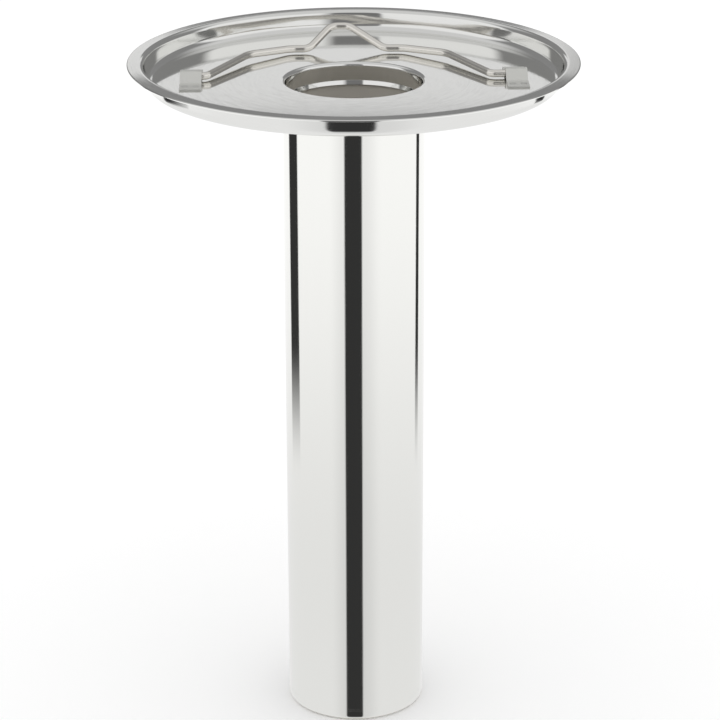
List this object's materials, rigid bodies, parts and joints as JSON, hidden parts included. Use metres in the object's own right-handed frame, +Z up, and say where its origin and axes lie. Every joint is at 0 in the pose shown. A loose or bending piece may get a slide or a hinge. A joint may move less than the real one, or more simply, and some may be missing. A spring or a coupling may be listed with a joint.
{
  "type": "ice tube lid",
  "caption": "Drop-in steel lid for a drinks container: recessed pan, folding wire bail, and a long closed tube for ice hanging from its central opening.",
  "frame": {"origin": "middle of the tube's closed end, on the surface that it stands on", "axes": "+Z up the tube and out of the lid; +X along the bail's hinge; the folded bail lies towards +Y"},
  "size_m": [0.24, 0.24, 0.376],
  "materials": {
    "pan_steel": "polished, fine turned grain on the floor",
    "tube_steel": "mirror polished",
    "wire_steel": "polished drawn wire",
    "strap_steel": "mill finish, satin grey",
    "weld_steel": "weld ground and polished",
    "spot_weld_steel": "flattened spot weld"
  },
  "bodies": {
    "lid": {"lid_pan": "pan_steel", "ice_tube": "tube_steel", "tube_seam_weld": "weld_steel", "tube_end_cap": "tube_steel", "end_cap_weld": "weld_steel", "neck_weld": "weld_steel", "hinge_strap_left": "strap_steel", "hinge_strap_right": "strap_steel", "strap_welds_left": "spot_weld_steel", "strap_welds_right": "spot_weld_steel"},
    "bail": {"bail_handle": "wire_steel"}
  },
  "joints": [
    {"name": "bail_hinge", "type": "hinge", "parent": "lid", "child": "bail", "pos_m": [0, 0, 0.3653], "axis": [1, 0, 0], "range_deg": [0, 172]}
  ]
}
